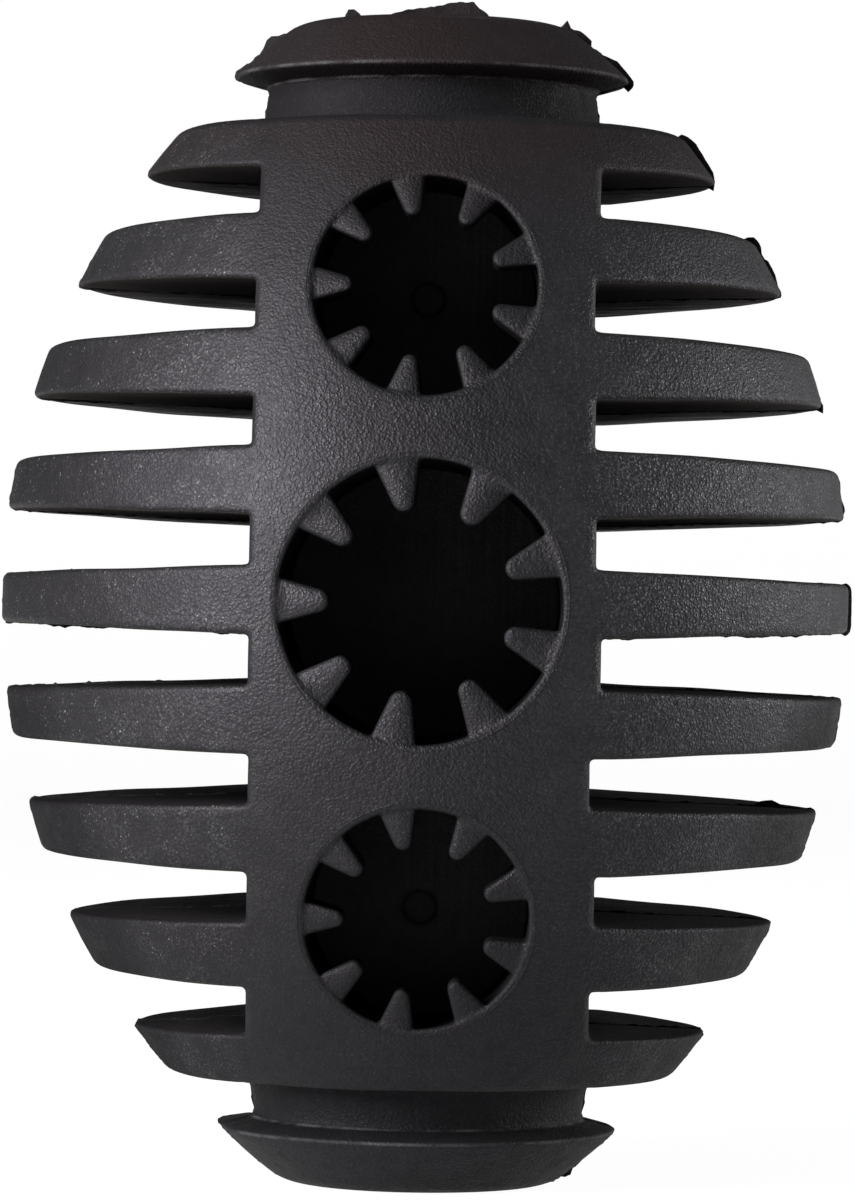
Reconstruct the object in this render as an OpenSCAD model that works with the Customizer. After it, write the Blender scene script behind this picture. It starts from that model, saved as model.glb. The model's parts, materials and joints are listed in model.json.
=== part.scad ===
// Rubber chew toy in the shape of a rugby ball.
// It stands on end along Z, with its middle at the origin and its front towards -Y.
// The outside is one arc turned round the Z axis. A core runs up the middle, fins stand out of it to the
// left and the right, and pockets with toothed mouths go into its front and its back.

/* [Overall] */
// Diameter at the waist
belly_d = 84.4; // [76:0.2:96]
// Length from end face to end face
toy_len = 115.4; // [112:0.2:124]
// Diameter of the flat face at each end
end_d = 26.8; // [20:0.2:30]

/* [Core] */
// Width of the core between the two rows of fins
core_w = 32.7; // [30:0.1:36]
// Thickness of the web between the front and the back pockets
web_t = 18; // [8:0.5:30]

/* [Fins] */
// Distance from one fin to the next
fin_pitch = 11.24; // [10:0.02:11.3]
// Thickness of a fin at the waist, where the toy is widest
fin_tip_t = 4.8; // [3.6:0.1:6]
// Thickness of a fin where it leaves the core
fin_root_t = 6.5; // [5:0.1:8]
// Height of the finned body above the middle of its last fin
end_fin_rise = 1.8; // [1:0.1:2.6]

/* [Necks and caps] */
// Diameter of a neck where it leaves the body
neck_body_d = 33.8; // [31:0.1:36]
// Diameter of a neck where it meets its cap
neck_cap_d = 32.5; // [28:0.1:34]
// Height of the groove round a neck
neck_len = 4.45; // [4.2:0.05:5.5]
// Height that a cap's inner face slopes away, from the neck out to the rim
cap_slope = 1; // [0.2:0.1:1.6]

/* [Pockets] */
// Distance from the middle pocket to each end pocket
pocket_pitch = 29.9; // [28:0.1:31]
// Diameter of the middle pocket
mid_pocket_d = 26.6; // [23:0.1:28]
// Diameter of the pockets above and below it
end_pocket_d = 21.2; // [19:0.1:23]

/* [Teeth] */
// Teeth round the mouth of a pocket
tooth_count = 9; // [6:1:10]
// Length of a tooth along the pocket's axis
tooth_len = 10; // [4:0.5:16]
// Depth of a tooth's front face below the round outside
tooth_recess = 0.3; // [0:0.05:1]
// Slope of each side of a tooth, in degrees
tooth_flank = 15.5; // [8:0.5:17]
// Height of a tooth in the middle pocket
mid_tooth_h = 4.85; // [4:0.05:5.5]
// Width of a tooth in the middle pocket, at the pocket's wall
mid_tooth_w = 4.4; // [4:0.1:5.4]
// Height of a tooth in an end pocket
end_tooth_h = 3.8; // [3:0.05:4.2]
// Width of a tooth in an end pocket, at the pocket's wall
end_tooth_w = 3.4; // [3:0.1:4]

/* [Hidden] */
$fn = 96;
// Fins on each side
FINS = 9;
// Length that a cutting shape runs past what it cuts
overrun = 2;

// Radius of the arc that makes the outside, from the waist and the two end faces
drop = (belly_d - end_d) / 2;
arc_r = (pow(drop, 2) + pow(toy_len / 2, 2)) / (2 * drop);
// Distance of the arc's centre from the Z axis, on the far side
arc_back = arc_r - belly_d / 2;

// Heights above the middle: end of the finned body, cap's inner face at the neck, cap's rim
body_top = (FINS - 1) / 2 * fin_pitch + end_fin_rise;
cap_base = body_top + neck_len;
rim_base = cap_base + cap_slope;

// Radius of the outside at height z
function outside_r(z) = sqrt(pow(arc_r, 2) - pow(z, 2)) - arc_back;

// Height of fin n above the middle, counted from the top
function fin_z(n) = ((FINS + 1) / 2 - n) * fin_pitch;

// Radius of a tooth's round tip that runs tangent into both its sides
function tip_r(w, h) = (w / 2 - h * tan(tooth_flank)) / (1 / cos(tooth_flank) - tan(tooth_flank));

FIN_NAMES = [for (side = ["left", "right"]) for (n = [1:FINS]) str("fin_", side, "_", n)];
TEETH_NAMES = [for (face = ["front", "back"]) for (row = ["top", "middle", "bottom"]) str("teeth_", face, "_", row)];

// Half of the toy's outline, beside the Z axis, between two heights and below the outside by a depth
module half_outline(low, high, depth = 0) {
    intersection() {
        translate([-arc_back, 0]) circle(r = arc_r - depth);
        translate([0, low]) square([belly_d, high - low]);
    }
}

// Round shape of the finned body, below the outside by a depth
module round_body(depth = 0) {
    rotate_extrude() half_outline(-body_top, body_top, depth);
}

// Block that runs the full depth of the toy, from a flat shape drawn in X and Z
module through(depth) {
    rotate([90, 0, 0]) linear_extrude(depth, center = true) children();
}

// Round hole of a pocket at height z, right through the toy
module pocket_hole(d, z) {
    translate([0, 0, z]) through(belly_d + overrun) circle(d = d);
}

// Half of the core in front of the web, with its three pockets open at both ends
module core_half() {
    difference() {
        intersection() {
            round_body();
            translate([-core_w / 2, -belly_d, -toy_len / 2]) cube([core_w, belly_d - web_t / 2, toy_len]);
        }
        pocket_hole(mid_pocket_d, 0);
        pocket_hole(end_pocket_d, pocket_pitch);
        pocket_hole(end_pocket_d, -pocket_pitch);
    }
}

module core_web() {
    color("#2b2a2c") translate([-core_w / 2, -web_t / 2, -body_top]) cube([core_w, web_t, 2 * body_top]);
}

module core_front() {
    color("#2b2a2c") core_half();
}

module core_back() {
    color("#2b2a2c") mirror([0, 1, 0]) core_half();
}

// Fin n on the right of the core: a wedge, thinner towards its tip, under the round outside
module fin(n) {
    color("#302f31") intersection() {
        round_body();
        translate([0, 0, fin_z(n)]) through(belly_d + overrun) polygon([
            [core_w / 2, -fin_root_t / 2],
            [belly_d / 2, -fin_tip_t / 2],
            [belly_d / 2, fin_tip_t / 2],
            [core_w / 2, fin_root_t / 2]]);
    }
}

module neck() {
    color("#29282a") translate([0, 0, body_top]) cylinder(h = neck_len, d1 = neck_body_d, d2 = neck_cap_d);
}

// Cap: the end of the round outside, on an inner face that slopes away from the neck
module cap() {
    color("#2d2c2e") rotate_extrude() difference() {
        half_outline(cap_base, toy_len / 2);
        polygon([
            [neck_cap_d / 2, cap_base],
            [belly_d / 2, cap_base],
            [belly_d / 2, cap_base + cap_slope * (belly_d - neck_cap_d) / (2 * outside_r(rim_base) - neck_cap_d)]]);
    }
}

// Outline of one tooth that points to the pocket's centre from the wall on its right
module tooth_outline(pocket_d, w, h) {
    r = tip_r(w, h);
    tip_x = pocket_d / 2 - h + r;
    intersection() {
        circle(d = pocket_d);
        union() {
            translate([tip_x, 0]) circle(r = r);
            polygon([
                [tip_x - r * sin(tooth_flank), -r * cos(tooth_flank)],
                [pocket_d / 2, -w / 2],
                [pocket_d / 2, w / 2],
                [tip_x - r * sin(tooth_flank), r * cos(tooth_flank)]]);
        }
    }
}

// Ring of teeth in the mouth of a pocket at height z, a little below the round outside
module teeth(pocket_d, w, h, z) {
    back = -outside_r(z) + tooth_len;
    color("#353436") intersection() {
        round_body(tooth_recess);
        for (k = [0:tooth_count - 1])
            translate([0, back, z])
                rotate([90, 0, 0])
                    linear_extrude(tooth_len + overrun)
                        rotate(180 + k * 360 / tooth_count) tooth_outline(pocket_d, w, h);
    }
}

module teeth_row(row) {
    if (row == "middle") teeth(mid_pocket_d, mid_tooth_w, mid_tooth_h, 0);
    if (row == "top") teeth(end_pocket_d, end_tooth_w, end_tooth_h, pocket_pitch);
    if (row == "bottom") teeth(end_pocket_d, end_tooth_w, end_tooth_h, -pocket_pitch);
}

core_web();
core_front();
core_back();
for (n = [1:FINS]) {
    mirror([1, 0, 0]) fin(n);
    fin(n);
}
neck();  // neck_top
mirror([0, 0, 1]) neck();  // neck_bottom
cap();  // cap_top
mirror([0, 0, 1]) cap();  // cap_bottom
for (row = ["top", "middle", "bottom"]) {
    teeth_row(row);
    mirror([0, 1, 0]) teeth_row(row);
}
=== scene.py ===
# %% [markdown]
# # A moulded rubber chew toy
# The toy is one moulding of black rubber in the shape of a rugby ball, stood on end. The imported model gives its
# separate forms at their real sizes, with sharp edges. A real mould leaves no sharp edge, so this lesson makes each
# form again with the small roundings that catch the light, and adds the thin torn flash of the parting line.

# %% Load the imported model
import json
from math import acos, asin, cos, hypot, pi, radians, sin, tan
from types import SimpleNamespace
import bmesh
import bpy
import numpy as np
from mathutils import Matrix, Vector
from mathutils.geometry import delaunay_2d_cdt

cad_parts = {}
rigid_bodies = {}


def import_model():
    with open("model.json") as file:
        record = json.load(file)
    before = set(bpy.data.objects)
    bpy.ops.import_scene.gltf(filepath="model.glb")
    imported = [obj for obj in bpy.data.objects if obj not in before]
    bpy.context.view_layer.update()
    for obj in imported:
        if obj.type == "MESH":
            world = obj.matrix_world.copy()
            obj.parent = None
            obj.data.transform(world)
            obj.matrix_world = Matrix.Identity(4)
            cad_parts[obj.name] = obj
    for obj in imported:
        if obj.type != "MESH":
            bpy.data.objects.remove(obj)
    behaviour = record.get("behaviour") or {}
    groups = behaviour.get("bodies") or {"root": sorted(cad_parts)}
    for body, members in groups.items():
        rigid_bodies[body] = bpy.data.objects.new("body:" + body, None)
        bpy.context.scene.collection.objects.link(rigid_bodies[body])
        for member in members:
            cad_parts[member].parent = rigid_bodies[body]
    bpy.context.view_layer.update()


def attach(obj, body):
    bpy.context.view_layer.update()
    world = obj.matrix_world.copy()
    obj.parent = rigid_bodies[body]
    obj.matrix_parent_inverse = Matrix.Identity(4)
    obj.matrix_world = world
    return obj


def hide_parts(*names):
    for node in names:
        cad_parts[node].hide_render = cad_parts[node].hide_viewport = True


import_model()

# %% [markdown]
# ## Sizes
# All sizes are in millimetres, as a mould's drawing gives them. The outside is one arc turned round the upright axis.
# Its radius follows from the waist, the length and the flat face at each end, so only those three are typed.

# %% Sizes of the toy
MM = 0.001
BELLY_D, TOY_LEN, END_D = 84.4, 115.4, 26.8
CORE_W, WEB_T = 32.7, 18.0
FIN_PITCH, FIN_TIP_T, FIN_ROOT_T, END_FIN_RISE = 11.24, 4.8, 6.5, 1.8
NECK_BODY_D, NECK_CAP_D, NECK_LEN, CAP_SLOPE = 33.8, 32.5, 4.45, 1.0
POCKET_PITCH, MID_POCKET_D, END_POCKET_D = 29.9, 26.6, 21.2
FINS, TEETH, TOOTH_LEN, TOOTH_RECESS, TOOTH_FLANK = 9, 9, 10.0, 0.3, radians(15.5)

DROP = (BELLY_D - END_D) / 2
ARC_R = (DROP ** 2 + (TOY_LEN / 2) ** 2) / (2 * DROP)
ARC_BACK = ARC_R - BELLY_D / 2
LAST_FIN = (FINS - 1) // 2
BODY_TOP = LAST_FIN * FIN_PITCH + END_FIN_RISE
CAP_BASE = BODY_TOP + NECK_LEN
RIM_Z = CAP_BASE + CAP_SLOPE
FIN_SLOPE = (FIN_ROOT_T - FIN_TIP_T) / (BELLY_D - CORE_W)
HALF_W = CORE_W / 2
# Each pocket: height of its middle, radius, and the height and width of its teeth
POCKETS = {"top": (POCKET_PITCH, END_POCKET_D / 2, 3.8, 3.4),
           "middle": (0.0, MID_POCKET_D / 2, 4.85, 4.4),
           "bottom": (-POCKET_PITCH, END_POCKET_D / 2, 3.8, 3.4)}


def outside_r(z, depth=0.0):
    """Radius of the round outside at height z, or of a surface that lies a depth under it."""
    return np.sqrt((ARC_R - depth) ** 2 - np.asarray(z, float) ** 2) - ARC_BACK


RIM_REACH = float(outside_r(RIM_Z))
print("waist radius", float(outside_r(0)), "radius of the end face", float(outside_r(TOY_LEN / 2)))

# %% [markdown]
# ## The shape as a distance
# A rounded edge could come from a Bevel modifier on each form, but the forms meet face to face, and a bevel would
# cut a groove along every joint that the real moulding doesn't have. Here the whole toy is described once, by
# functions that say how far a point lies from its surface. Two shapes are cut or joined with a rounding between
# them, and every form that is made later has its points moved onto this one surface. So a rounding runs on from
# form to form.

# %% Cutting and joining with a rounding
EDGE_R, GAP_R, RIM_R, TOOTH_R, ROOT_R = 0.6, 0.42, 0.6, 0.65, 0.3
FLOOR_R, DIMPLE_R, NECK_ROOT_R, NECK_HEAD_R, CAP_RIM_R, CAP_FACE_R = 0.6, 0.3, 1.0, 0.6, 0.55, 0.9


def cut(a, b, r):
    """What lies inside both shapes, with the edge between them rounded."""
    return np.minimum(-r, np.maximum(a, b)) + np.hypot(np.maximum(a + r, 0), np.maximum(b + r, 0))


def join(a, b, r):
    """What lies inside either shape, with the corner between them filled."""
    return np.maximum(r, np.minimum(a, b)) - np.hypot(np.maximum(r - a, 0), np.maximum(r - b, 0))


# %% Distance to the outside, the fins and the core
def outside(x, y, z, depth=0.0):
    return np.hypot(np.hypot(x, y) + ARC_BACK, z) - ARC_R + depth


def unevenness(x, y, z):
    """Slow, very small swell of the moulded faces."""
    swell = np.sin(0.31 * x + 0.17 * z + 1.0) * np.cos(0.27 * y - 0.23 * z)
    return 0.035 * (swell + np.sin(0.53 * z - 0.41 * x + 2.0))


# How far each gap, from the top down, runs past the core's side into it. Below 0 it stops short of that side
GAP_ENDS = {"left": (0.35, 0.35, 0.4, 0.35, 0.4, 0.45, 0.25, 0.05),
            "right": (-0.2, 0.3, 0.2, 0.0, -0.6, 0.3, -0.35, -0.15)}


def gap_ends(x, z):
    gap = np.clip(np.floor(LAST_FIN - z / FIN_PITCH), 0, FINS - 2).astype(int)
    return np.where(x < 0, np.take(GAP_ENDS["left"], gap), np.take(GAP_ENDS["right"], gap))


def fins(x, z):
    """Nearest of the nine wedges on either side."""
    from_middle = np.abs(z - FIN_PITCH * np.clip(np.round(z / FIN_PITCH), -LAST_FIN, LAST_FIN))
    half = FIN_ROOT_T / 2 - FIN_SLOPE * (np.abs(x) - HALF_W)
    return (from_middle - half) / hypot(1, FIN_SLOPE)


DIMPLE_BALL_R, DIMPLE_BALL_OUT = 2.6, 1.6


def blind_holes(x, y, z):
    """The six pockets. Their floors are the faces of the web, and an end pocket's floor has a dimple."""
    depth = WEB_T / 2 - np.abs(y)
    holes = []
    for height, r, _, _ in POCKETS.values():
        hole = cut(np.hypot(x, z - height) - r, depth, FLOOR_R)
        if height:
            ball = np.sqrt(x ** 2 + (depth + DIMPLE_BALL_OUT) ** 2 + (z - height) ** 2) - DIMPLE_BALL_R
            hole = join(hole, ball, DIMPLE_R)
        holes.append(hole)
    return np.minimum.reduce(holes)


# %% Distance to a ring of teeth
TEETH_ZONE = 1.5


def tip_r(w, h):
    """Radius of a tooth's round tip that runs on into both its sides."""
    return (w / 2 - h * tan(TOOTH_FLANK)) / (1 / cos(TOOTH_FLANK) - tan(TOOTH_FLANK))


def teeth(x, y, z, height, r, h, w):
    """Nine blunt teeth that point at the pocket's middle. The first lies at nine o'clock."""
    turn = 2 * pi / TEETH
    angle = np.arctan2(z - height, x) - pi
    angle = angle - turn * np.round(angle / turn)
    reach = np.hypot(x, z - height)
    along, across = reach * np.cos(angle), np.abs(reach * np.sin(angle))
    tip = tip_r(w, h)
    centre = r - h + tip
    flank = (centre - along) * sin(TOOTH_FLANK) + across * cos(TOOTH_FLANK) - tip
    past = (along - centre) * cos(TOOTH_FLANK) + across * sin(TOOTH_FLANK) < 0
    flat = np.where(past, np.hypot(along - centre, across) - tip, flank)
    bar = cut(flat, outside(x, y, z, TOOTH_RECESS), TOOTH_R)
    back = float(outside_r(height)) - TOOTH_LEN - np.abs(y)
    return cut(bar, back, TOOTH_R)


def body(x, y, z):
    """The finned body with its pockets and teeth."""
    flat = join(np.abs(x) - HALF_W + gap_ends(x, z), fins(x, z), GAP_R)
    flat = cut(flat, np.abs(z) - BODY_TOP, EDGE_R)
    solid = cut(flat, outside(x, y, z), EDGE_R)
    solid = cut(solid, -blind_holes(x, y, z), RIM_R)
    for height, r, h, w in POCKETS.values():
        ring = teeth(x, y, z, height, r, h, w)
        near = np.hypot(x, z - height) < r + TEETH_ZONE
        solid = np.where(near, join(solid, ring, ROOT_R), solid)
    return solid + unevenness(x, y, z)


# %% Distance to the necks and the caps
def neck(x, y, z):
    reach, up = np.hypot(x, y), np.abs(z)
    taper = (NECK_BODY_D - NECK_CAP_D) / 2 / NECK_LEN
    side = (reach - NECK_BODY_D / 2 + taper * (up - BODY_TOP)) / hypot(1, taper)
    return join(join(side, up - BODY_TOP, NECK_ROOT_R), cap_inner(reach, up), NECK_HEAD_R)


def cap_inner(reach, up):
    """Inner face of a cap, which slopes away from the neck."""
    slope = CAP_SLOPE / (RIM_REACH - NECK_CAP_D / 2)
    return (CAP_BASE + slope * (reach - NECK_CAP_D / 2) - up) / hypot(1, slope)


def cap(x, y, z):
    """The cap. Its swell dies out towards the end face, on which the toy stands."""
    shell = cut(outside(x, y, z), cap_inner(np.hypot(x, y), np.abs(z)), CAP_RIM_R)
    from_face = TOY_LEN / 2 - np.abs(z)
    return cut(shell, -from_face, CAP_FACE_R) + unevenness(x, y, z) * np.clip(from_face, 0, 1)


print("field at the waist", float(body(np.float64(BELLY_D / 2), np.float64(0), np.float64(0))))

# %% [markdown]
# ## Moving points onto the surface
# The slope of the distance points straight away from the surface, so a few steps along it bring a point onto the
# surface, and the same slope is the direction in which the light should see the face there. A point deep inside, on a
# face where two forms touch, stays where it is.

# %% Settle points on the surface
SETTLE_STEPS, LONGEST_STEP, ON_SURFACE = 7, 0.35, 0.02


def slope_at(field, p, h=0.004):
    parts = []
    for axis in range(3):
        step = np.zeros(3)
        step[axis] = h
        parts.append((field(*(p + step).T) - field(*(p - step).T)) / (2 * h))
    return np.stack(parts, 1)


def settle(points, field, reach=1.0):
    """Points moved onto the surface, with the way out there. One that would move past the reach stays."""
    p = points.copy()
    for _ in range(SETTLE_STEPS):
        slope = slope_at(field, p)
        push = -(field(*p.T) / np.maximum((slope ** 2).sum(1), 0.2))[:, None] * slope
        size = np.linalg.norm(push, axis=1, keepdims=True)
        p += push * np.minimum(1, LONGEST_STEP / np.maximum(size, 1e-9))
    moved = np.linalg.norm(p - points, axis=1)
    stays = (np.abs(field(*p.T)) > ON_SURFACE) | (moved > reach)
    p[stays] = points[stays]
    slope = slope_at(field, p)
    return p, slope / np.maximum(np.linalg.norm(slope, axis=1, keepdims=True), 1e-9)


# %% From patches to a closed piece
def weld(patches):
    """Joins patches of points and faces into one mesh, with points that coincide made one."""
    points, faces, start = [], [], 0
    for patch, patch_faces in patches:
        points.append(np.asarray(patch, float))
        faces += [[start + i for i in face] for face in patch_faces]
        start += len(patch)
    points = np.concatenate(points)
    _, first, where = np.unique(np.round(points, 3), axis=0, return_index=True, return_inverse=True)
    where = where.ravel()
    kept, seen = [], set()
    for face in faces:
        ring = [int(where[i]) for i in face]
        ring = [a for a, b in zip(ring, ring[-1:] + ring[:-1]) if a != b]
        if len(set(ring)) == len(ring) > 2 and frozenset(ring) not in seen:
            seen.add(frozenset(ring))
            kept.append(ring)
    return points[first], kept


def solids_of(work):
    """Faces of each separate solid."""
    left = set(work.faces)
    while left:
        solid, edge = [], [left.pop()]
        while edge:
            face = edge.pop()
            solid.append(face)
            near = {other for link in face.edges for other in link.link_faces} & left
            left -= near
            edge += near
        yield solid


def volume_of(solid):
    """Six times the volume inside some faces. It is below 0 when they all face inwards."""
    return sum(a.dot(b.cross(c)) for face in solid for k in range(1, len(face.verts) - 1)
               for a, b, c in [[face.verts[i].co for i in (0, k, k + 1)]])


def make_mesh(name, points, faces, smooth=True):
    """An object from points in millimetres. It rides on the toy and takes its finish from the rubber."""
    mesh = bpy.data.meshes.new(name)
    mesh.from_pydata((points * MM).tolist(), [], faces)
    work = bmesh.new()
    work.from_mesh(mesh)
    bmesh.ops.recalc_face_normals(work, faces=work.faces)
    open_edges = sum(1 for e in work.edges if len(e.link_faces) != 2)
    turned_round = [face for solid in solids_of(work) if volume_of(solid) < 0 for face in solid]
    bmesh.ops.reverse_faces(work, faces=turned_round)
    work.to_mesh(mesh)
    work.free()
    mesh.polygons.foreach_set("use_smooth", [smooth] * len(mesh.polygons))
    piece = bpy.data.objects.new(name, mesh)
    bpy.context.scene.collection.objects.link(piece)
    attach(piece, "root")
    print(f"{name}: {len(points)} points, {len(faces)} faces, {open_edges} open edges")
    return piece


SHIFT_WHOLE, SHIFT_NONE = 1.0, 2.6


def shift_sides(points):
    """Takes points near the core's sides along with the gaps' ends, so that the settled corners stay crisp."""
    x, z = points[:, 0], points[:, 2]
    from_side = np.abs(np.abs(x) - HALF_W)
    share = np.clip((SHIFT_NONE - from_side) / (SHIFT_NONE - SHIFT_WHOLE), 0, 1) * (np.abs(z) < BODY_TOP - 1)
    return points - np.stack([np.sign(x) * share * gap_ends(x, z), 0 * x, 0 * x], 1)


def make_piece(name, patches, field, nodes, mirror=(1, 1, 1)):
    """A form of the toy, settled on its surface, that stands for CAD nodes."""
    points, faces = weld(patches)
    if field is body:
        points = shift_sides(points)
    points, normals = settle(points, field)
    piece = make_mesh(name, points * mirror, faces)
    piece.data.normals_split_custom_set_from_vertices((normals * mirror).tolist())
    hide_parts(*nodes)


def grid(rows, columns, loop=False):
    """Faces of a grid of points, row after row. A loop closes its last row onto the first."""
    last = rows if loop else rows - 1
    return [[i * columns + j, i * columns + j + 1, (i + 1) % rows * columns + j + 1, (i + 1) % rows * columns + j]
            for i in range(last) for j in range(columns - 1)]


def shut(rows, columns, first=0):
    """Two faces that close both ends of a looped grid, from the first of its rows on."""
    return [[i * columns + j for i in range(first, first + rows)] for j in (0, columns - 1)]


# %% [markdown]
# ## Places where a face needs more points
# A flat face needs few points, and a rounding needs several across it. So three more lines of points lie beside
# each edge, the last of them just past the rounding, and the rest is spaced widely.

# %% Lines beside an edge
BESIDE = np.array([0, 0.22, 0.5, 0.85])


def spread(start, stop, step, near=BESIDE):
    """Places from start to stop, close together at both ends and a step apart between them."""
    length = abs(stop - start)
    near = near * min(1, length / (2.4 * near[-1]))
    count = max(1, int(np.ceil((length - 2 * near[-1]) / step)))
    middle = np.linspace(near[-1], length - near[-1], count + 1)[1:-1]
    places = np.concatenate([near, middle, (length - near)[::-1]])
    return start + np.sign(stop - start) * places


# %% [markdown]
# ## Fins
# Each fin is a wedge that thins towards its tip, and its rim is part of the round outside. It is made as a grid: one
# way goes round the rim from the front of the core to its back, and the other goes round the fin's section, out along
# the top, down the rim and back along the underside.

# %% Heights of the fins and places along them
def fin_z(n):
    """Height of a fin's middle, counted from the top."""
    return (LAST_FIN + 1 - n) * FIN_PITCH


def radial_places(length):
    """Sixteen places along a line from a fin's root to its rim, close together at both."""
    near = BESIDE * min(1, length / (2.4 * BESIDE[-1]))
    inner = np.linspace(near[-1], length - near[-1], 10)[1:-1]
    return np.concatenate([near, inner, (length - near)[::-1]])


# %% Make the eighteen fins
RIM_STEP = 2.2


def fin_patch(n):
    middle = fin_z(n)
    r0 = float(outside_r(middle))
    sweep = acos(HALF_W / r0)
    arc = sweep * r0
    along = np.concatenate([spread(-arc, 0, RIM_STEP), spread(0, arc, RIM_STEP)[1:]])
    share = np.clip(along / arc, -1, 1)

    def edge_height(side, x):
        level = middle + side * (FIN_ROOT_T / 2 - FIN_SLOPE * (x - HALF_W))
        return np.clip(level, -BODY_TOP, BODY_TOP)

    def rim_point(z):
        r = outside_r(z)
        angle = share * np.arccos(np.minimum(1, HALF_W / r))
        return np.stack([r * np.cos(angle), r * np.sin(angle), z * np.ones_like(share)], 1)

    def face_rows(side):
        tip = rim_point(edge_height(side, r0 * np.cos(share * sweep)))
        for _ in range(3):
            tip = rim_point(edge_height(side, tip[:, 0]))
        root_z = edge_height(side, HALF_W)
        root_y = share * np.sqrt(outside_r(root_z) ** 2 - HALF_W ** 2)
        root = np.stack([np.full_like(share, HALF_W), root_y, np.full_like(share, root_z)], 1)
        length = np.linalg.norm((tip - root)[:, :2], axis=1)
        for steps in np.array([radial_places(l) for l in length]).T:
            point = root + (tip - root) * (steps / np.maximum(length, 1e-9))[:, None]
            point[:, 2] = edge_height(side, point[:, 0])
            yield point

    top, under = list(face_rows(1)), list(face_rows(-1))
    high = top[-1][:, 2]
    height = high - under[-1][:, 2]
    near = [d * np.minimum(1, height / (2.4 * BESIDE[-1])) for d in BESIDE[1:]]
    drops = near + [height / 2] + [height - d for d in near[::-1]]
    rim = [rim_point(high - d) for d in drops]
    rows = top + rim + under[::-1]
    count = len(share)
    faces = grid(len(rows), count, loop=True) + shut(len(rim) + 2, count, first=len(top) - 1)
    return np.concatenate(rows), faces


for n in range(1, FINS + 1):
    patch = fin_patch(n)
    make_piece(f"fin_right_{n}_moulded", [patch], body, [f"fin_right_{n}"])
    make_piece(f"fin_left_{n}_moulded", [(patch[0] * [-1, 1, 1], patch[1])], body, [f"fin_left_{n}"])

# %% [markdown]
# ## Core
# The front of the core is a strip of the round outside with three holes. A strip with round holes has no simple grid,
# so its points are laid out flat, with rings round each hole, and are joined into triangles by the shortest links.
# The strip is then bent onto the outside. Its sides, its ends and the pockets' walls run straight back from it.

# %% Lay out and join flat points
def flat_mesh(points, edges, holes=()):
    """Triangles inside closed edges. A triangle with all its corners on a hole's rim lies in the hole."""
    points = np.unique(points, axis=0)
    lookup = {tuple(p): i for i, p in enumerate(points)}
    links = [(lookup[tuple(a)], lookup[tuple(b)]) for a, b in edges]
    found = delaunay_2d_cdt([Vector(p) for p in points], links, [], 1, 1e-6)
    flat = np.array([points[source[0]] if source else tuple(v) for v, source in zip(found[0], found[3])])
    on_rim = [np.abs(np.hypot(flat[:, 0], flat[:, 1] - height) - r) < 1e-3 for height, r in holes]
    faces = [list(face) for face in found[2] if not any(rim[list(face)].all() for rim in on_rim)]
    return flat, faces


def ring_angles(r, w):
    """Places round a pocket's wall, with extra ones where each tooth leaves it."""
    at_wall = tooth_angle(r, w)
    near = BESIDE[1:] / r
    turn = 2 * pi / TEETH
    half = np.concatenate([[0, at_wall - near[0]], [at_wall], at_wall + near,
                           np.linspace(at_wall + near[-1], turn / 2, 4)[1:]])
    sector = np.concatenate([-half[:0:-1], half[:-1]])
    return np.concatenate([pi + k * turn + sector for k in range(TEETH)])


def tooth_angle(r, w):
    """Angle, seen from the pocket's middle, at which a tooth's side meets the wall."""
    angle = asin(w / 2 / r)
    for _ in range(4):
        angle = asin((w / 2 - (r - r * cos(angle)) * tan(TOOTH_FLANK)) / r)
    return angle


def circle(height, r, angles):
    return np.round(np.stack([r * np.cos(angles), height + r * np.sin(angles)], 1), 4)


def closed(ring):
    """A ring of points that ends on its first."""
    return np.concatenate([ring, ring[:1]])


# %% Points of the strip
def side_places():
    """Heights along the strip's edge, close together where a fin leaves it."""
    places = [-BODY_TOP, BODY_TOP]
    for middle in (fin_z(n) for n in range(1, FINS + 1)):
        for line in (middle + FIN_ROOT_T / 2, middle - FIN_ROOT_T / 2):
            places += [line + k for d in BESIDE for k in (d, -d)]
        places += [middle] + [middle + FIN_PITCH / 2 + k for k in (-1, 0, 1)]
    places += [side * (BODY_TOP - d) for d in BESIDE for side in (1, -1)]
    places = np.unique(np.round(places, 3))
    places = places[np.abs(places) <= BODY_TOP + 1e-9]
    return places[np.concatenate([[True], np.diff(places) > 0.07])]


SIDE_Z = side_places()
SIDE_Z[0], SIDE_Z[-1] = -BODY_TOP, BODY_TOP
TOP_X = np.round(spread(-HALF_W, HALF_W, 1.6), 3)
STEP_X, STEP_Z = 1.8, 1.9


def loop_edges(ring):
    return list(zip(ring, np.roll(ring, -1, axis=0)))


def border_points(near):
    """Points on the strip's four edges and at some distances inside them."""
    return [np.array([(side * (HALF_W - d), z) for side in (1, -1) for z in SIDE_Z for d in near]),
            np.array([(x, side * (BODY_TOP - d)) for side in (1, -1) for x in TOP_X for d in near])]


def border_edges():
    """Links once round the strip."""
    right, left = ([(side * HALF_W, z) for z in SIDE_Z] for side in (1, -1))
    top, bottom = ([(x, side * BODY_TOP) for x in TOP_X] for side in (1, -1))
    return loop_edges(np.array(right + top[::-1][1:] + left[::-1][1:] + bottom[1:-1]))


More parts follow.
